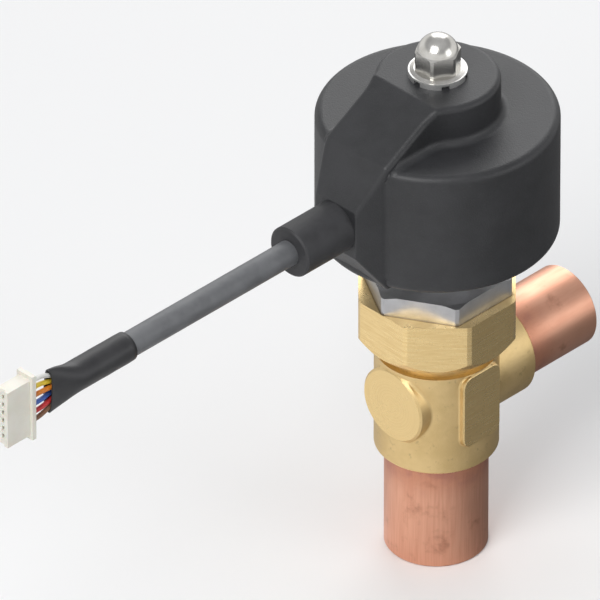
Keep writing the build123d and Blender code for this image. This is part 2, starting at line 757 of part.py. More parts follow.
def make_plate_yoke():
    """Top disc with claw poles that reach down between those of the cup."""
    top = unit_height - YOKE_SHEET
    return yoke_disc(top) + claw_poles(top, YOKE_SHEET + POLE_TIP_GAP, 180 / POLE_COUNT)


def bobbin_core_d():
    return COIL_BORE_D + 2 * POLE_THICKNESS + 4 * MOULD_GAP


def make_bobbin():
    """A spool between the yokes, with a lug for three pins."""
    low = YOKE_SHEET + MOULD_GAP
    high = lug_top()
    outer = stator_d - 2 * YOKE_SHEET - 2 * MOULD_GAP
    inner = bobbin_core_d()
    core = ring(inner + 2 * BOBBIN_WALL, inner, low, high)
    flanges = ring(outer, inner, low, low + BOBBIN_WALL) + ring(outer, inner, high - BOBBIN_WALL, high)
    lug = block(
        -lug_reach, -winding_d / 2 - LOOSE_FIT, -LUG_WIDTH / 2, LUG_WIDTH / 2, high - LUG_HEIGHT, high
    )
    bobbin = core + flanges + lug
    for y in pin_places():
        bobbin -= rod_x(PIN_D + 2 * PRESS_FIT, -lug_reach, -lug_reach + LUG_PIN_DEPTH, high - LUG_HEIGHT / 2, y)
    return bobbin


def make_winding():
    low = YOKE_SHEET + MOULD_GAP + BOBBIN_WALL
    high = lug_top() - BOBBIN_WALL
    inner = bobbin_core_d() + 2 * BOBBIN_WALL
    return ring(winding_d, inner + 2 * RUNNING_FIT, low + RUNNING_FIT, high - RUNNING_FIT)


def lower_unit(shape):
    return Pos(0, 0, stator_z) * shape


def upper_unit(shape):
    """The upper stator unit is the lower one turned over."""
    return Pos(0, 0, stator_z + STATOR_HEIGHT) * Rot(180, 0, 0) * shape


def pin_places():
    return [-PIN_PITCH, 0.0, PIN_PITCH]


def pin_heights():
    above_foot = lug_top() - LUG_HEIGHT / 2
    return [stator_z + above_foot, stator_z + STATOR_HEIGHT - above_foot]


def make_terminal_board():
    board = block(
        -board_reach,
        -board_reach + BOARD_THICKNESS,
        -BOARD_WIDTH / 2,
        BOARD_WIDTH / 2,
        stator_middle_z - BOARD_HEIGHT / 2,
        stator_middle_z + BOARD_HEIGHT / 2,
    )
    hole_d = PIN_D + 2 * PRESS_FIT
    for height in pin_heights():
        for y in pin_places():
            board -= rod_x(hole_d, -board_reach, -board_reach + BOARD_THICKNESS, height, y)
    return board


def make_terminal_pins():
    start = -lug_reach + LUG_PIN_DEPTH
    pins = [
        rod_x(PIN_D, -board_reach - PIN_STAND_OUT, start, height, y)
        for height in pin_heights()
        for y in pin_places()
    ]
    return Compound(children=pins)


def make_cable_gland():
    """A round sleeve on the block's front face, with a spigot in its wall."""
    sleeve = rod_x(GLAND_D, gland_end_x, -block_reach, cable_z)
    sleeve = chamfer(sleeve.edges().group_by(Axis.X)[0], GLAND_EDGE)
    return sleeve + rod_x(GLAND_SPIGOT_D, -block_reach, -block_reach + BLOCK_POCKET_WALL, cable_z)


def make_notched_washer():
    washer = ring(WASHER_D, STUD_D + 2 * RUNNING_FIT, hub_top_z, washer_top_z)
    notch = block(
        WASHER_D / 2 - WASHER_NOTCH_DEPTH,
        WASHER_D,
        -WASHER_NOTCH_WIDTH / 2,
        WASHER_NOTCH_WIDTH / 2,
        hub_top_z,
        hub_top_z + WASHER_NOTCH_HEIGHT,
    )
    return washer - copies_about_axis(notch, WASHER_NOTCH_COUNT)


def make_cap_nut():
    """Thin flange, hexagon with chamfered corners, and a domed cap over the stud."""
    flange_top = washer_top_z + NUT_FLANGE_HEIGHT
    hex_top = flange_top + NUT_HEX_HEIGHT
    top = hex_top + NUT_DOME_HEIGHT
    corner = corner_radius(NUT_AF, NUT_SIDES, NUT_CORNER_CUT)
    drop = (corner - NUT_DOME_D / 2) * tan(radians(CORNER_CHAMFER_ANGLE))
    limit = turned(
        (0, flange_top), (corner, flange_top), (corner, hex_top - drop), (NUT_DOME_D / 2, hex_top), (0, hex_top)
    )
    flange = turned(
        (0, washer_top_z),
        (NUT_FLANGE_D / 2, washer_top_z),
        (corner + NUT_FLANGE_STEP, flange_top),
        (0, flange_top),
    )
    dome_r = ((NUT_DOME_D / 2) ** 2 + NUT_DOME_HEIGHT**2) / (2 * NUT_DOME_HEIGHT)
    dome = Pos(0, 0, top - dome_r) * Sphere(dome_r) & rod(NUT_DOME_D, hex_top, top)
    nut = flange + (prism(NUT_AF, NUT_SIDES, 180 / NUT_SIDES, flange_top, hex_top) & limit) + dome
    return nut - rod(STUD_D + 2 * RUNNING_FIT, washer_top_z, washer_top_z + NUT_THREAD_DEPTH)


def make_cable_jacket():
    return rod_x(CABLE_D, jacket_end_x, gland_end_x, cable_z)


def cable_section(x, width, height):
    """An ellipse across the cable."""
    plane = Plane(origin=(x, 0, cable_z), x_dir=(0, 1, 0), z_dir=(-1, 0, 0))
    return plane * Ellipse(width / 2, height / 2)


def make_heat_shrink_sleeve():
    """A tube on the jacket's end that widens into a flattened mouth for the wires."""
    outer = CABLE_D + 2 * SLEEVE_FIT + 2 * SLEEVE_WALL
    inner = outer - 2 * SLEEVE_WALL
    tube = rod_x(outer, flare_x, sleeve_x, cable_z)
    mouth = (SLEEVE_MOUTH_WIDTH, SLEEVE_MOUTH_HEIGHT)
    flare = loft([cable_section(flare_x, outer, outer), cable_section(mouth_x, *mouth)])
    inner_mouth = [size - 2 * SLEEVE_WALL for size in mouth]
    hollow = loft([cable_section(flare_x, inner, inner), cable_section(mouth_x, *inner_mouth)])
    return tube + flare - rod_x(inner, flare_x, sleeve_x, cable_z) - hollow


def way_heights():
    """Heights of the connector's ways, from the top."""
    middle = (WIRE_COUNT - 1) / 2
    return [cable_z + WAY_PITCH * (middle - i) for i in range(WIRE_COUNT)]


def wire_starts():
    """Places (y, z) of the wires round the cable's axis, ordered from the top."""
    spacing = (WIRE_D + WIRE_GAP) / 2 / sin(pi / WIRE_COUNT)
    angles = [radians(90 + 360 / WIRE_COUNT * i) for i in range(WIRE_COUNT)]
    places = [(spacing * cos(angle), cable_z + spacing * sin(angle)) for angle in angles]
    return sorted(places, key=lambda place: (-round(place[1] / NEAR), -place[0]))


def make_lead_wire(index):
    """One wire from the jacket's end, fanned out to its way in the connector."""
    y, z = wire_starts()[index]
    way_z = way_heights()[index]
    fan_x = jacket_end_x - WIRE_STRAIGHT
    points = [
        (jacket_end_x, y, z),
        (fan_x, y, z),
        (fan_x - WIRE_FAN_LENGTH, 0, way_z),
        (contact_x, 0, way_z),
    ]
    path = FilletPolyline(*points, radius=WIRE_BEND_R)
    start = Plane(origin=points[0], z_dir=(-1, 0, 0))
    return sweep(start * Circle(WIRE_D / 2), path=path)


def make_connector_housing():
    """Flange at the wires' side, nose with a low rib along one side of its face, and six ways."""
    flange = block(
        flange_front_x,
        connector_x,
        -FLANGE_WIDTH / 2,
        FLANGE_WIDTH / 2,
        cable_z - FLANGE_HEIGHT / 2,
        cable_z + FLANGE_HEIGHT / 2,
    )
    low_z = cable_z - NOSE_HEIGHT / 2
    high_z = cable_z + NOSE_HEIGHT / 2
    side = NOSE_WIDTH / 2
    nose = block(nose_face_x, flange_front_x, -side, side, low_z, high_z)
    rib = block(nose_front_x, nose_face_x, -side, -side + NOSE_RIB_WIDTH, low_z, high_z)
    housing = flange + nose + rib
    room = CONTACT_SIDE / 2 + RUNNING_FIT
    for z in way_heights():
        housing -= block(nose_face_x + FRONT_WALL, connector_x, -room, room, z - room, z + room)
        housing -= block(
            nose_face_x,
            nose_face_x + FRONT_WALL,
            -WAY_OPENING_WIDTH / 2,
            WAY_OPENING_WIDTH / 2,
            z - WAY_OPENING_HEIGHT / 2,
            z + WAY_OPENING_HEIGHT / 2,
        )
    return housing


def make_connector_terminals():
    """Six box contacts, each open towards the front."""
    half = CONTACT_SIDE / 2
    slot = half - CONTACT_SHEET
    front = contact_x - CONTACT_LENGTH
    contacts = []
    for z in way_heights():
        contact = block(front, contact_x, -half, half, z - half, z + half)
        contact -= block(front, contact_x - CONTACT_BACK, -slot, slot, z - slot, z + slot)
        contacts.append(contact)
    return Compound(children=contacts)


def make_parts():
    """Every piece of the valve, by name."""
    parts = {
        "valve_body": make_valve_body(),
        "outlet_stub": make_outlet_stub(),
        "inlet_stub": make_inlet_stub(),
        "seat_ring": make_seat_ring(),
        "needle": make_needle(),
        "screw_nut": make_screw_nut(),
        "guide_bush": make_guide_bush(),
        "anti_rotation_pin": make_anti_rotation_pin(),
        "cartridge_head": make_cartridge_head(),
        "cartridge_o_ring": make_o_ring(),
        "bearing_outer_race": make_bearing_outer_race(),
        "bearing_inner_race": make_bearing_inner_race(),
        "bearing_balls": make_bearing_balls(),
        "lead_screw": make_lead_screw(),
        "rotor_hub": make_rotor_hub(),
        "rotor_magnet": make_rotor_magnet(),
        "rotor_can": make_rotor_can(),
        "can_stud": make_can_stud(),
        "upper_bush": make_upper_bush(),
        "coil_gasket": make_coil_gasket(),
        "coil_housing": make_coil_housing(),
        "lower_cup_yoke": lower_unit(make_cup_yoke()),
        "lower_plate_yoke": lower_unit(make_plate_yoke()),
        "upper_plate_yoke": upper_unit(make_plate_yoke()),
        "upper_cup_yoke": upper_unit(make_cup_yoke()),
        "lower_bobbin": lower_unit(make_bobbin()),
        "upper_bobbin": upper_unit(make_bobbin()),
        "lower_winding": lower_unit(make_winding()),
        "upper_winding": upper_unit(make_winding()),
        "terminal_board": make_terminal_board(),
        "terminal_pins": make_terminal_pins(),
        "cable_gland": make_cable_gland(),
        "notched_washer": make_notched_washer(),
        "cap_nut": make_cap_nut(),
        "cable_jacket": make_cable_jacket(),
        "heat_shrink_sleeve": make_heat_shrink_sleeve(),
        "connector_housing": make_connector_housing(),
        "connector_terminals": make_connector_terminals(),
    }
    for index in range(WIRE_COUNT):
        parts[f"lead_wire_{index + 1}"] = make_lead_wire(index)
    return parts


def main():
    os.makedirs("parts", exist_ok=True)
    for name, shape in make_parts().items():
        export_step(shape, f"parts/{name}.step")
    print(f"bend radius of each lead wire: {WIRE_BEND_R} mm, twice")


if __name__ == "__main__":
    main()
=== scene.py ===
import json
from math import atan2, cos, hypot, pi, radians, sin

import bmesh
import bpy
from mathutils import Matrix, Vector


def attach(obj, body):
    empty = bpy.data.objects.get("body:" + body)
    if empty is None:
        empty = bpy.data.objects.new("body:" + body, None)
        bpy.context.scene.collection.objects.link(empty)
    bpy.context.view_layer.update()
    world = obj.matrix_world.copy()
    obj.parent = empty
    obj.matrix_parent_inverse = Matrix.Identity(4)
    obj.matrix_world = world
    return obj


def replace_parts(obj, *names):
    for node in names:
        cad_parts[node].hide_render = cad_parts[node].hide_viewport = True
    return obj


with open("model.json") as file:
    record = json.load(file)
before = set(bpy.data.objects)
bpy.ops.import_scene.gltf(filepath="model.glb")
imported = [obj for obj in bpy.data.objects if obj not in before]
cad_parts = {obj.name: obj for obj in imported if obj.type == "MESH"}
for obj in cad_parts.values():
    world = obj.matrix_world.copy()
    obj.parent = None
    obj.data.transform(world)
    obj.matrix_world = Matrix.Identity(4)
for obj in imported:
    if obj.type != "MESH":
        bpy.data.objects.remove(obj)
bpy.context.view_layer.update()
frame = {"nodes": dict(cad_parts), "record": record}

# Electronic expansion valve. Metres, in the frame of the CAD model: origin at the centre of the outlet
# stub's open end, +Z up the valve's axis, +X towards the inlet stub, the cable towards -X.
MM = 0.001

# Sizes that repeat the CAD model's, in millimetres
BODY_FOOT_Z = 32.3
PORT_Z = 51.6
OCTAGON_Z = 68.4
HEX_Z = 83.1
HEX_AF = 36.0
ROUND_BOSS_X = -17.0
PAD_Y = -17.1
INLET_BOSS_END_X = 24.1
OUTLET_STUB_D = 28.0
INLET_STUB_D = 23.1
CABLE_Z = 120.6
CABLE_D = 7.1
GLAND_END_X = -55.55
JACKET_END_X = -130.0
SLEEVE_X = -115.8
SLEEVE_STRAIGHT = 18.7
SLEEVE_FLARE = 10.1
SLEEVE_R = 4.2
SLEEVE_WALL = 0.5
MOUTH_HALF_WIDTH = 1.8
MOUTH_HALF_HEIGHT = 7.0
WIRE_D = 1.35
WIRE_STARTS = [(0.0, 122.0), (1.212, 121.3), (-1.212, 121.3), (1.212, 119.9), (-1.212, 119.9), (0.0, 119.2)]
WAY_PITCH = 2.5
CONNECTOR_X = -151.8
CONTACT_X = -153.8


class Value:
    """A number, vector, colour or shader in a node tree; arithmetic on it adds the nodes for it."""

    def __init__(self, nodes, socket):
        self.nodes = nodes
        self.socket = socket

    def maths(self, operation, *values):
        return self.nodes.add("ShaderNodeMath", 0, {"operation": operation}, *values)

    def __add__(self, other):
        return self.maths("ADD", self, other)

    def __radd__(self, other):
        return self.maths("ADD", other, self)

    def __sub__(self, other):
        return self.maths("SUBTRACT", self, other)

    def __rsub__(self, other):
        return self.maths("SUBTRACT", other, self)

    def __mul__(self, other):
        return self.maths("MULTIPLY", self, other)

    def __rmul__(self, other):
        return self.maths("MULTIPLY", other, self)

    def sine(self):
        return self.maths("SINE", self)

    def cosine(self):
        return self.maths("COSINE", self)

    def magnitude(self):
        return self.maths("ABSOLUTE", self)

    def larger(self, other):
        return self.maths("MAXIMUM", self, other)

    def angle_from(self, other):
        """The angle of the point (other, self) in a plane, in radians."""
        return self.maths("ARCTAN2", self, other)

    def ramp(self, low, high, first, last):
        """first below low, last above high, and smooth between them."""
        smooth = {"interpolation_type": "SMOOTHSTEP"}
        return self.nodes.add("ShaderNodeMapRange", 0, smooth, self, low, high, first, last)

    def above(self, low, high):
        return self.ramp(low, high, 0.0, 1.0)

    def below(self, low, high):
        return 1.0 - self.above(low, high)


class Nodes:
    """The node tree of a material or the world."""

    def __init__(self, owner, emptied=False):
        owner.use_nodes = True
        self.tree = owner.node_tree
        if emptied:
            self.tree.nodes.clear()

    def add(self, kind, output, settings, *inputs, **named):
        """A node with its settings; inputs are filled in order or by name, and None leaves one as it is."""
        made = self.tree.nodes.new(kind)
        for key, value in settings.items():
            setattr(made, key, value)
        pairs = list(zip(made.inputs, inputs)) + [(made.inputs[key], value) for key, value in named.items()]
        for socket, value in pairs:
            if isinstance(value, Value):
                self.tree.links.new(value.socket, socket)
            elif value is not None:
                socket.default_value = value
        return None if output is None else Value(self, made.outputs[output])

    def several(self, kind, outputs, *inputs):
        """Several outputs of one node."""
        first = self.add(kind, outputs[0], {}, *inputs)
        return [first] + [Value(self, first.socket.node.outputs[output]) for output in outputs[1:]]

    def parts(self, vector):
        return self.several("ShaderNodeSeparateXYZ", ("X", "Y", "Z"), vector)

    def vector(self, x, y, z):
        return self.add("ShaderNodeCombineXYZ", 0, {}, x, y, z)

    def length(self, vector):
        return self.add("ShaderNodeVectorMath", "Value", {"operation": "LENGTH"}, vector)

    def rays(self):
        """1 for the camera's rays, and 1 for rays that metal mirrors or glass lets through."""
        kinds = ("Is Camera Ray", "Is Glossy Ray", "Is Transmission Ray")
        camera, glossy, through = self.several("ShaderNodeLightPath", kinds)
        return camera, glossy.larger(through)


class Finish(Nodes):
    """The material of a surface. Its places and pattern sizes are in millimetres."""

    def __init__(self, name, **constants):
        self.material = bpy.data.materials.new(name)
        super().__init__(self.material)
        self.shader = self.tree.nodes["Principled BSDF"]
        for key, value in constants.items():
            self.shader.inputs[key.replace("_", " ")].default_value = value
        place = self.add("ShaderNodeTexCoord", "Object", {})
        self.place = self.add("ShaderNodeVectorMath", "Vector", {"operation": "SCALE"}, place, Scale=1 / MM)
        self.x, self.y, self.z = self.parts(self.place)

    def noise(self, size, detail, roughness, at=None):
        """Noise from 0 to 1 with blobs of about that size."""
        place = at or self.place
        return self.add(
            "ShaderNodeTexNoise", 0, {}, Vector=place, Scale=1 / size, Detail=detail, Roughness=roughness
        )

    def cells(self, size):
        """Distance to the nearest of scattered points, in cells of about that size."""
        return self.add("ShaderNodeTexVoronoi", "Distance", {}, Vector=self.place, Scale=1 / size)

    def blend(self, factor, low, high):
        """A colour between two others, which are values or (red, green, blue)."""
        low, high = [end if isinstance(end, Value) else (*end, 1.0) for end in (low, high)]
        not_colours = [None] * 5
        return self.add("ShaderNodeMix", 2, {"data_type": "RGBA"}, factor, *not_colours, low, high)

    def connect(self, name, value):
        self.tree.links.new(value.socket, self.shader.inputs[name])

    def colour(self, value):
        self.connect("Base Color", value)

    def rough(self, value):
        self.connect("Roughness", value)

    def bump(self, height, depth):
        """Relief: height is from 0 to 1 and depth is in millimetres."""
        relief = self.add("ShaderNodeBump", 0, {}, Strength=1.0, Distance=depth * MM, Height=height)
        self.connect("Normal", relief)


# The hexagon's slanted faces look this far to the side of the X axis
HEX_LEAN = radians(30)


def forged_brass():
    """Forged skin on barrel and bosses; octagon, pad and ends are milled, the round boss's face is turned."""
    m = Finish("body_brass", Metallic=1.0)
    under_octagon = m.z.below(OCTAGON_Z - 2.4, OCTAGON_Z - 1.4)
    boss_face = m.x.below(ROUND_BOSS_X + 0.05, ROUND_BOSS_X + 0.15) * under_octagon
    pad_face = m.y.below(PAD_Y + 0.05, PAD_Y + 0.15)
    octagon = m.z.above(OCTAGON_Z - 0.5, OCTAGON_Z - 0.1)
    foot = m.z.below(BODY_FOOT_Z + 0.5, BODY_FOOT_Z + 0.8)
    port_end = m.x.above(INLET_BOSS_END_X - 0.9, INLET_BOSS_END_X - 0.6)
    machined = octagon.larger(foot).larger(pad_face).larger(port_end).larger(boss_face)

    skin = m.noise(0.7, 3.0, 0.6)
    patches = m.noise(9.0, 3.0, 0.6)
    milled = m.noise(0.38, 3.0, 0.65, at=m.vector(m.x * 0.05, m.y * 0.05, m.z))
    from_boss = m.length(m.vector(0.0, m.y, m.z - PORT_Z))
    turned = m.noise(0.20, 2.0, 0.6, at=m.vector(from_boss, 0.0, 0.0))
    lines = milled * (1.0 - boss_face) + turned * boss_face

    # Dust sits on the forged skin, and painted shade darkens the corner at the foot of the hexagon
    grime = m.noise(2.2, 4.0, 0.65).above(0.58, 0.80) * (1.0 - machined)
    x, y = m.x.magnitude(), m.y.magnitude()
    from_axis = y.larger(x * cos(HEX_LEAN) + y * sin(HEX_LEAN))
    on_top = m.z.above(HEX_Z - 0.2, HEX_Z - 0.1)
    # Painted shade: a ragged band of the octagon's top round the foot of the hexagon, darkened where shade
    # would fall
    painted_foot_shade = (from_axis - patches * 0.5).below(HEX_AF / 2 - 0.15, HEX_AF / 2 + 0.35) * on_top
    # The dust on the skin and the painted shade at the hexagon's foot, as one darkening
    dust_and_shade = grime * 0.55 + painted_foot_shade * 0.80

    bright = m.blend(lines.above(0.3, 0.7), (0.90, 0.68, 0.34), (0.80, 0.58, 0.27))
    dull = m.blend(patches.above(0.3, 0.7), (0.70, 0.51, 0.24), (0.80, 0.60, 0.30))
    # The dust and the painted shade at the hexagon's foot blend the brass towards dark brown
    m.colour(m.blend(dust_and_shade, m.blend(machined, dull, bright), (0.30, 0.20, 0.10)))
    m.rough(0.34 + 0.12 * patches + 0.08 * skin - machined * (0.24 - 0.18 * lines))
    m.bump(skin * (1.0 - machined) + lines * machined * 0.30, 0.05)
    return m


def drawn_copper(name, along, cool, hot):
    """Drawn tube: faint lines along it, warm brown patches, and a heat tint that grows from cool to hot."""
    m = Finish(name, Metallic=1.0)
    axis, across = (m.x, m.z) if along == "x" else (m.z, m.x)
    turn = m.y.angle_from(across) * 12.0
    streaks = m.noise(0.5, 3.0, 0.6, at=m.vector(turn, axis * 0.03, 0.0))
    patches = m.noise(7.0, 4.0, 0.6)
    heat = axis.above(cool, hot) if cool < hot else axis.below(hot, cool)
    clean = m.blend(streaks.above(0.3, 0.75), (0.83, 0.45, 0.31), (0.74, 0.37, 0.25))
    worn = m.blend(patches.above(0.55, 0.8), clean, (0.50, 0.23, 0.15))
    tint = m.blend(patches.above(0.3, 0.6), (0.42, 0.16, 0.13), (0.60, 0.27, 0.17))
    m.colour(m.blend(heat * 0.75, worn, tint))
    m.rough(0.26 + 0.14 * patches + 0.10 * streaks + 0.08 * heat)
    m.bump(streaks + patches * 0.4, 0.025)
    return m


def metal(name, light, dark, rough, blotch, depth, squash=(1.0, 1.0, 1.0), grain=0.3):
    """A plated or machined metal. squash below 1 stretches its grain to lines that way."""
    m = Finish(name, Metallic=1.0)
    squash_x, squash_y, squash_z = squash
    lines = m.noise(grain, 2.0, 0.6, at=m.vector(m.x * squash_x, m.y * squash_y, m.z * squash_z))
    patches = m.noise(blotch, 3.0, 0.6)
    m.colour(m.blend(patches.above(0.3, 0.7), light, dark))
    m.rough(rough + 0.10 * patches + 0.06 * lines)
    m.bump(lines, depth)
    return m


def plastic(name, light, dark, rough, grain=0.3, depth=0.02, blotch=6.0, **constants):
    """A moulded or extruded plastic with a fine skin and slight colour variation."""
    m = Finish(name, **constants)
    skin = m.noise(grain, 3.0, 0.6)
    patches = m.noise(blotch, 3.0, 0.55)
    m.colour(m.blend(patches.above(0.3, 0.7), light, dark))
    m.rough(rough + 0.10 * patches + 0.08 * skin)
    m.bump(skin, depth)
    return m


def coil_plastic():
    """Black glass-filled moulding: sparked mould texture, with pale dust of glass at the surface."""
    m = Finish("coil_plastic")
    sparked = m.noise(0.42, 3.0, 0.65)
    pits = m.cells(0.6).above(0.05, 0.55)
    flow = m.noise(14.0, 4.0, 0.6)
    glass = m.noise(0.22, 2.0, 0.7).above(0.60, 0.78)
    ground = m.blend(flow.above(0.3, 0.7), (0.018, 0.0185, 0.020), (0.028, 0.0285, 0.031))
    m.colour(m.blend(glass * 0.40, ground, (0.11, 0.11, 0.115)))
    m.rough(0.36 + 0.14 * flow + 0.10 * sparked)
    m.bump(sparked * 0.6 + pits * 0.4, 0.055)
    return m


def jacket_plastic():
    """Extruded cable jacket: the wires inside show as a slow twist, under a fine skin."""
    m = Finish("jacket_plastic")
    turn = m.y.angle_from(m.z - CABLE_Z)
    twist = (turn * 6.0 + m.x * 0.17).sine()
    skin = m.noise(0.22, 2.0, 0.6)
    patches = m.noise(8.0, 3.0, 0.6)
    m.colour(m.blend(patches.above(0.3, 0.7), (0.105, 0.108, 0.114), (0.145, 0.149, 0.156)))
    m.rough(0.40 + 0.12 * patches + 0.08 * skin)
    m.bump(twist * 0.35 + skin * 0.25, 0.06)
    return m


def braze_metal():
    """Silver-brass filler, frozen in fine ripples."""
    m = Finish("braze_metal", Metallic=1.0)
    ripples = m.noise(0.7, 3.0, 0.6)
    patches = m.noise(2.5, 3.0, 0.6)
    m.colour(m.blend(patches.above(0.35, 0.65), (0.80, 0.66, 0.40), (0.62, 0.42, 0.24)))
    m.rough(0.26 + 0.18 * patches)
    m.bump(ripples, 0.08)
    return m


# Stretches a metal's grain to lines round the valve's axis: on turned pieces, and finer on the windings
TURNED = (0.15, 0.15, 1.0)
WOUND = (0.05, 0.05, 1.0)

# The finish of each material slot of the record
FINISHES = {
    "body_brass": forged_brass(),
    "stub_copper": drawn_copper("outlet_copper", "z", 20.0, 31.5),
    "stainless": metal("stainless", (0.64, 0.64, 0.65), (0.54, 0.54, 0.55), 0.20, 5.0, 0.008, TURNED),
    "head_steel": metal("head_steel", (0.56, 0.56, 0.57), (0.47, 0.47, 0.48), 0.36, 6.0, 0.012, TURNED),
    "bush_brass": metal("bush_brass", (0.74, 0.57, 0.29), (0.64, 0.47, 0.23), 0.28, 4.0, 0.01, TURNED),
    "bearing_steel": metal("bearing_steel", (0.66, 0.66, 0.68), (0.58, 0.58, 0.60), 0.12, 4.0, 0.004),
    "seal_rubber": plastic("seal_rubber", (0.020, 0.020, 0.021), (0.030, 0.030, 0.031), 0.55, 0.25, 0.02),
    "hub_plastic": plastic("hub_plastic", (0.66, 0.64, 0.56), (0.60, 0.57, 0.49), 0.42),
    "magnet": plastic("magnet", (0.065, 0.065, 0.072), (0.085, 0.085, 0.09), 0.50, 0.2, 0.02),
    "coil_plastic": coil_plastic(),
    "yoke_steel": metal("yoke_steel", (0.52, 0.52, 0.51), (0.44, 0.44, 0.43), 0.32, 4.0, 0.01),
    "bobbin_plastic": plastic("bobbin_plastic", (0.62, 0.60, 0.51), (0.56, 0.54, 0.46), 0.45),
    "winding_copper": metal(
        "winding_copper", (0.60, 0.25, 0.11), (0.50, 0.19, 0.08), 0.25, 3.0, 0.10, WOUND, 0.25
    ),
    "board": plastic("board", (0.05, 0.26, 0.12), (0.06, 0.30, 0.14), 0.32, 0.4, 0.015),
    "contact_metal": metal("contact_metal", (0.70, 0.68, 0.60), (0.60, 0.58, 0.51), 0.22, 1.5, 0.01),
    "gland_rubber": plastic("gland_rubber", (0.024, 0.024, 0.026), (0.036, 0.036, 0.039), 0.52, 0.28, 0.03),
    "nut_plating": metal(
        "nut_plating", (0.68, 0.665, 0.63), (0.59, 0.575, 0.54), 0.15, 3.0, 0.006, grain=0.35
    ),
    "jacket_plastic": jacket_plastic(),
    "sleeve_plastic": plastic(
        "sleeve_plastic", (0.017, 0.017, 0.019), (0.027, 0.027, 0.029), 0.38, 0.25, 0.02
    ),
    "connector_plastic": plastic(
        "connector_plastic", (0.80, 0.78, 0.70), (0.75, 0.72, 0.63), 0.36, 0.25, 0.012,
        Subsurface_Weight=0.12, Subsurface_Scale=0.002,
    ),
}
WIRE_COLOURS = {
    "wire_1": ((0.76, 0.76, 0.73), (0.68, 0.68, 0.65)),
    "wire_2": ((0.80, 0.58, 0.05), (0.72, 0.50, 0.04)),
    "wire_3": ((0.76, 0.25, 0.03), (0.66, 0.20, 0.02)),
    "wire_4": ((0.06, 0.16, 0.55), (0.05, 0.12, 0.45)),
    "wire_5": ((0.58, 0.03, 0.03), (0.48, 0.02, 0.02)),
    "wire_6": ((0.23, 0.11, 0.05), (0.18, 0.085, 0.04)),
}
for wire_slot, colours in WIRE_COLOURS.items():
    FINISHES[wire_slot] = plastic(wire_slot, *colours, 0.30, 0.3, 0.01, blotch=3.0)

# Nodes whose finish differs from that of the others in their slot
OWN_FINISHES = {
    "inlet_stub": drawn_copper("inlet_copper", "x", 36.0, 25.0),
    "notched_washer": metal(
        "washer_zinc", (0.82, 0.82, 0.80), (0.70, 0.70, 0.69), 0.38, 1.5, 0.012, grain=0.35
    ),
}
BRAZE = braze_metal()


def paint_nodes():
    """Every CAD node gets its own finish or that of its slot."""
    for part in frame["record"]["subparts"]:
        finish = OWN_FINISHES.get(part["node"], FINISHES[part["material_slot"]])
        for place in frame["nodes"][part["node"]].material_slots:
            place.material = finish.material


def piece(name, shape, finish):
    """An object of a finished mesh or curve, on the valve's fixed body."""
    made = bpy.data.objects.new(name, shape)
    bpy.context.scene.collection.objects.link(made)
    shape.materials.append(finish.material)
    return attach(made, "valve")


def mesh_of(name, made):
    """The mesh of a finished bmesh, with its faces outwards."""
    bmesh.ops.recalc_face_normals(made, faces=made.faces)
    mesh = bpy.data.meshes.new(name)
    made.to_mesh(mesh)
    made.free()
    return mesh


SPIN_STEPS = 96


def spun(outline, axis, centre):
    """A bmesh, in millimetres, of a closed outline spun once round an axis.

    Each corner of the outline is (place, how many points are added on the side that starts there).
    """
    made = bmesh.new()
    corners = [made.verts.new(place) for place, _ in outline]
    sides = [made.edges.new(pair) for pair in zip(corners, corners[1:] + corners[:1])]
    for side, (_, points) in zip(sides, outline):
        if points:
            bmesh.ops.subdivide_edges(made, edges=[side], cuts=points)
    bmesh.ops.spin(
        made, geom=made.verts[:] + made.edges[:], axis=axis, cent=centre, angle=2 * pi,
        steps=SPIN_STEPS, use_merge=True,
    )
    for face in made.faces:
        face.smooth = True
    return made


# How far a fillet of filler sinks into the stub and the body, and how many sides its hollow has
BRAZE_SINK = 0.02
BRAZE_SIDES = 6

# Where each fillet is put, its own Z towards the inside of the body
OUTLET_JOINT = Matrix.Translation((0.0, 0.0, BODY_FOOT_Z))
INLET_JOINT = Matrix(((0, 0, -1, INLET_BOSS_END_X), (1, 0, 0, 0), (0, 1, 0, PORT_Z), (0, 0, 0, 1)))


def braze_fillet(name, radius, leg, joint):
    """A hollow fillet of filler, of uneven width, round a stub where it enters the body."""
    inner = Vector((radius - BRAZE_SINK, 0.0, BRAZE_SINK))
    outline = [(inner, 0)]
    for side in range(BRAZE_SIDES + 1):
        turn = pi / 2 * side / BRAZE_SIDES
        outline.append((inner + leg * Vector((1 - sin(turn), 0.0, cos(turn) - 1)), 0))
    made = spun(outline, (0.0, 0.0, 1.0), (0.0, 0.0, 0.0))
    for vert in made.verts:
        angle = atan2(vert.co.y, vert.co.x)
        width = 1.0 + 0.10 * sin(5 * angle + 1.0) + 0.06 * sin(11 * angle + 2.0)
        foot = Vector((inner.x * cos(angle), inner.x * sin(angle), inner.z))
        vert.co = foot + (vert.co - foot) * width
    bmesh.ops.transform(made, matrix=joint, verts=made.verts)
    bmesh.ops.scale(made, vec=(MM, MM, MM), verts=made.verts)
    return piece(name, mesh_of(name, made), BRAZE)


def strand(name, points, diameter, slot, roundness, steps):
    """A cable or wire that follows a few points in millimetres as one smooth line."""
    curve = bpy.data.curves.new(name, "CURVE")
    curve.dimensions = "3D"
    spline = curve.splines.new("NURBS")
    spline.points.add(len(points) - 1)
    for point, place in zip(spline.points, points):
        point.co = (*(value * MM for value in place), 1.0)
    spline.order_u = 3
    spline.use_endpoint_u = True
    spline.resolution_u = steps
    curve.bevel_depth = diameter / 2 * MM
    curve.bevel_resolution = roundness
    curve.use_fill_caps = True
    return piece(name, curve, FINISHES[slot])


def cable_jacket():
    """The jacket from the gland to its end in the sleeve."""
    places = [GLAND_END_X, GLAND_END_X - 6 * CABLE_D, JACKET_END_X]
    points = [(x, 0.0, CABLE_Z) for x in places]
    jacket = strand("cable", points, CABLE_D, "jacket_plastic", roundness=12, steps=12)
    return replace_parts(jacket, "cable_jacket")


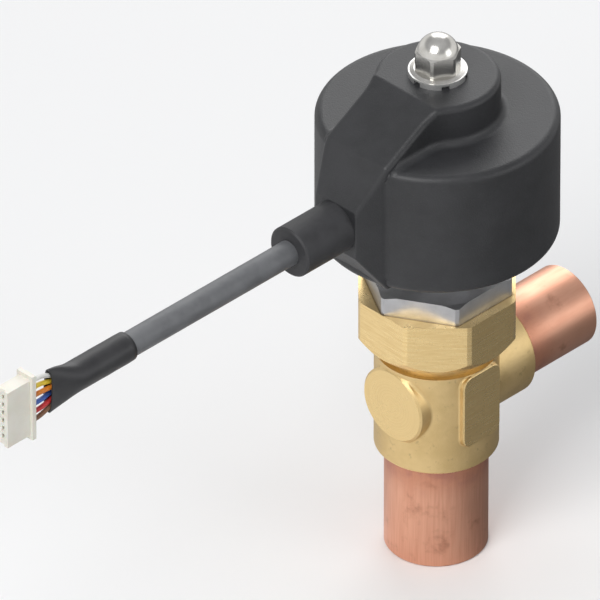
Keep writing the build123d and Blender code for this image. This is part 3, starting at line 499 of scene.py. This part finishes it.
# How each wire bows to a side, and how far it lifts near its way, in millimetres
WIRE_BOWS = [(0.30, 0.45), (-0.40, 0.10), (0.42, 0.35), (-0.15, -0.30), (0.38, 0.05), (-0.35, -0.50)]

# Points of a wire: how far past the jacket, and what share each has of the wire's side place in the
# bundle, of its bow, of the step up or down to its way, and of its lift
WIRE_COURSE = [
    (0.0, 1.0, 0.0, 0.0, 0.0),
    (3.0, 1.0, 0.0, 0.0, 0.0),
    (7.5, 0.9, 1.0, 0.16, 0.0),
    (13.0, 0.5, 1.0, 0.58, 0.0),
    (17.5, 0.0, -0.8, 0.98, 1.0),
]

# How far before the connector a wire is in line with its way
WAY_MOUTH = 0.6


def lead_wires():
    """Six insulated wires that leave the jacket as a bundle, bow a little and part to their ways."""
    made = []
    for i, ((y, z), (bow, lift)) in enumerate(zip(WIRE_STARTS, WIRE_BOWS)):
        name = f"wire_{i + 1}"
        way_z = CABLE_Z + WAY_PITCH * (2.5 - i)
        points = [
            (JACKET_END_X - past, y * of_side + bow * of_bow, z + (way_z - z) * of_step + lift * of_lift)
            for past, of_side, of_bow, of_step, of_lift in WIRE_COURSE
        ]
        points += [(CONNECTOR_X + WAY_MOUTH, 0.0, way_z), (CONTACT_X, 0.0, way_z)]
        wire = strand(name, points, WIRE_D, name, roundness=6, steps=10)
        made.append(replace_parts(wire, f"lead_{name}"))
    return made


# Rings of faces along the sleeve's straight part, and as many along its flare
SLEEVE_ROWS = 14


def shrunk(place):
    """Where a point of the straight sleeve comes to lie once it is shrunk and its mouth is pressed flat."""
    x, y, z = place.x, place.y, place.z - CABLE_Z
    turn = atan2(z, y)
    inwards = SLEEVE_R - hypot(y, z)
    along = SLEEVE_X - x
    opened = min(1.0, max(0.0, (along - SLEEVE_STRAIGHT) / SLEEVE_FLARE))
    eased = opened * opened * (3 - 2 * opened)
    spread = 0.55 * opened + 0.45 * eased
    half_width = SLEEVE_R + (MOUTH_HALF_WIDTH - SLEEVE_R) * spread
    half_height = SLEEVE_R + (MOUTH_HALF_HEIGHT - SLEEVE_R) * spread

    # The first ring is drawn in tight, and the last is cut a little askew
    relaxed = min(1.0, 0.8 * along * SLEEVE_ROWS / SLEEVE_STRAIGHT)
    cut = 0.18 * sin(3 * turn + 0.4) if opened > 0.99 else 0.0
    ripple = 0.05 * sin(6 * turn + 0.17 * x) + 0.03 * sin(0.9 * x + 2 * turn)
    pleat = 0.16 * opened * sin(5 * turn + 0.6) * sin(pi * opened)
    grown = (ripple * 0.5 + pleat) * relaxed - 0.06 * (1 - relaxed) - inwards
    return Vector((x + cut, (half_width + grown) * cos(turn), CABLE_Z + (half_height + grown) * sin(turn)))


def shrink_sleeve():
    """Shrunk tube: snug on the jacket, then pressed flat into a wide mouth with a few pleats."""
    bend_x = SLEEVE_X - SLEEVE_STRAIGHT
    mouth_x = bend_x - SLEEVE_FLARE
    outside, inside = SLEEVE_R, SLEEVE_R - SLEEVE_WALL
    between = SLEEVE_ROWS - 1
    outline = [
        ((SLEEVE_X, outside, CABLE_Z), between),
        ((bend_x, outside, CABLE_Z), between),
        ((mouth_x, outside, CABLE_Z), 0),
        ((mouth_x, inside, CABLE_Z), between),
        ((bend_x, inside, CABLE_Z), between),
        ((SLEEVE_X, inside, CABLE_Z), 0),
    ]
    made = spun(outline, (1.0, 0.0, 0.0), (0.0, 0.0, CABLE_Z))
    for vert in made.verts:
        vert.co = shrunk(vert.co)
    bmesh.ops.scale(made, vec=(MM, MM, MM), verts=made.verts)
    mesh = mesh_of("shrink_sleeve", made)
    tube = piece("shrink_sleeve", mesh, FINISHES["sleeve_plastic"])
    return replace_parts(tube, "heat_shrink_sleeve")


def softened(node, name, width, slot):
    """The node's shape with its sharp edges rounded, as a moulded piece has them."""
    made = bmesh.new()
    made.from_mesh(frame["nodes"][node].data)
    bmesh.ops.remove_doubles(made, verts=made.verts, dist=1e-6)
    bmesh.ops.dissolve_limit(made, angle_limit=radians(1), verts=made.verts, edges=made.edges)
    sharp = [edge for edge in made.edges if edge.is_manifold and edge.calc_face_angle(0) > radians(30)]
    bmesh.ops.bevel(
        made, geom=sharp, offset=width * MM, offset_type="OFFSET", segments=2, profile=0.5,
        affect="EDGES", clamp_overlap=True, material=-1,
    )
    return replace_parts(piece(name, mesh_of(name, made), FINISHES[slot]), node)


paint_nodes()
cable = cable_jacket()
wires = lead_wires()
sleeve = shrink_sleeve()
plug = softened("connector_housing", "plug_housing", 0.14, "connector_plastic")
braze_fillet("outlet_braze", OUTLET_STUB_D / 2, 1.1, OUTLET_JOINT)
braze_fillet("inlet_braze", INLET_STUB_D / 2, 1.0, INLET_JOINT)

# The studio: an isometric view through a long lens, pale paper on the floor, and three soft lights
VIEW = Vector((-1.0, -1.0, 1.0)).normalized()
TARGET = Vector((-39.83, 11.63, 91.65)) * MM
FRAME_WIDTH = 158.9 * MM
LENS = 1500.0
SENSOR = 36.0
NEAREST = 0.05
FARTHEST = 60.0
WHITE = 0.92
PAPER = 0.90
PAPER_SHADE = 0.20
PALEST_SIDE = radians(170)
FLOOR_REACH = 12.0
MIDDLE = Vector((0.0, 0.0, 0.09))

# Name, direction from the middle, distance, width, power, colour
LIGHTS = [
    ("key", (-0.9, -0.25, 1.1), 0.9, 0.45, 4.6, (1.0, 1.0, 1.0)),
    ("fill", (0.35, -1.0, 0.4), 1.0, 0.5, 1.3, (0.97, 0.98, 1.0)),
    ("back", (0.75, 0.62, 0.62), 1.0, 0.7, 3.6, (1.0, 1.0, 1.0)),
]


def make_camera():
    data = bpy.data.cameras.new("camera")
    data.sensor_width = SENSOR
    data.lens = LENS
    data.clip_start = NEAREST
    data.clip_end = FARTHEST
    camera = bpy.data.objects.new("camera", data)
    bpy.context.scene.collection.objects.link(camera)
    camera.location = TARGET + VIEW * (FRAME_WIDTH * LENS / SENSOR)
    camera.rotation_euler = (-VIEW).to_track_quat("-Z", "Y").to_euler()
    bpy.context.scene.camera = camera


def floor_material():
    """Pale paper that runs out into the white background, and nothing when seen from below.

    The camera sees it evenly pale; metal and bounced light see a painted shade on it towards one side, as if
    a dark screen stood there.
    """
    material = bpy.data.materials.new("floor")
    t = Nodes(material, emptied=True)
    place = t.add("ShaderNodeTexCoord", "Object", {})
    x, y, _ = t.parts(place)
    # Painted shade: the paper darkens by its direction round the middle, for every ray but the camera's
    shade = (y.angle_from(x) - PALEST_SIDE).cosine().ramp(-0.9, 1.0, PAPER_SHADE, PAPER)
    camera, mirrored = t.rays()
    paper = t.add("ShaderNodeBsdfDiffuse", 0, {}, shade.larger(camera * PAPER))
    white = t.add("ShaderNodeEmission", 0, {}, (1.0, 1.0, 1.0, 1.0), WHITE)
    run_out = t.length(place).above(0.35, 1.1) * camera.larger(mirrored)
    front = t.add("ShaderNodeMixShader", 0, {}, run_out, paper, white)
    clear = t.add("ShaderNodeBsdfTransparent", 0, {})
    below = t.add("ShaderNodeNewGeometry", "Backfacing", {})
    t.add("ShaderNodeOutputMaterial", None, {}, t.add("ShaderNodeMixShader", 0, {}, below, front, clear))
    return material


def make_floor():
    """A wide plane under the outlet stub."""
    made = bmesh.new()
    bmesh.ops.create_grid(made, x_segments=8, y_segments=8, size=FLOOR_REACH)
    mesh = bpy.data.meshes.new("floor")
    made.to_mesh(mesh)
    made.free()
    floor = bpy.data.objects.new("floor", mesh)
    bpy.context.scene.collection.objects.link(floor)
    mesh.materials.append(floor_material())


def make_world():
    """A white backdrop for the camera and low down in metal, and a soft grey room for light and above it."""
    world = bpy.data.worlds.new("room")
    bpy.context.scene.world = world
    t = Nodes(world, emptied=True)
    up = t.parts(t.add("ShaderNodeTexCoord", "Generated", {}))[2]
    level = t.add("ShaderNodeMapRange", 0, {}, up, -0.1, 1.0, 0.14, 0.62)
    room = t.add("ShaderNodeBackground", 0, {}, (0.97, 0.98, 1.0, 1.0), level)
    white = t.add("ShaderNodeBackground", 0, {}, (1.0, 1.0, 1.0, 1.0), WHITE)
    camera, mirrored = t.rays()
    backdrop = camera.larger(mirrored * up.ramp(0.30, 0.55, 1.0, 0.0))
    t.add("ShaderNodeOutputWorld", None, {}, t.add("ShaderNodeMixShader", 0, {}, backdrop, room, white))


def make_lights():
    for name, direction, distance, width, power, colour in LIGHTS:
        data = bpy.data.lights.new(name, "AREA")
        data.shape = "SQUARE"
        data.size = width
        data.energy = power
        data.color = colour
        light = bpy.data.objects.new(name, data)
        bpy.context.scene.collection.objects.link(light)
        way = Vector(direction).normalized()
        light.location = MIDDLE + way * distance
        light.rotation_euler = way.to_track_quat("Z", "Y").to_euler()


make_camera()
make_floor()
make_world()
make_lights()
bpy.context.scene.view_settings.view_transform = "Standard"
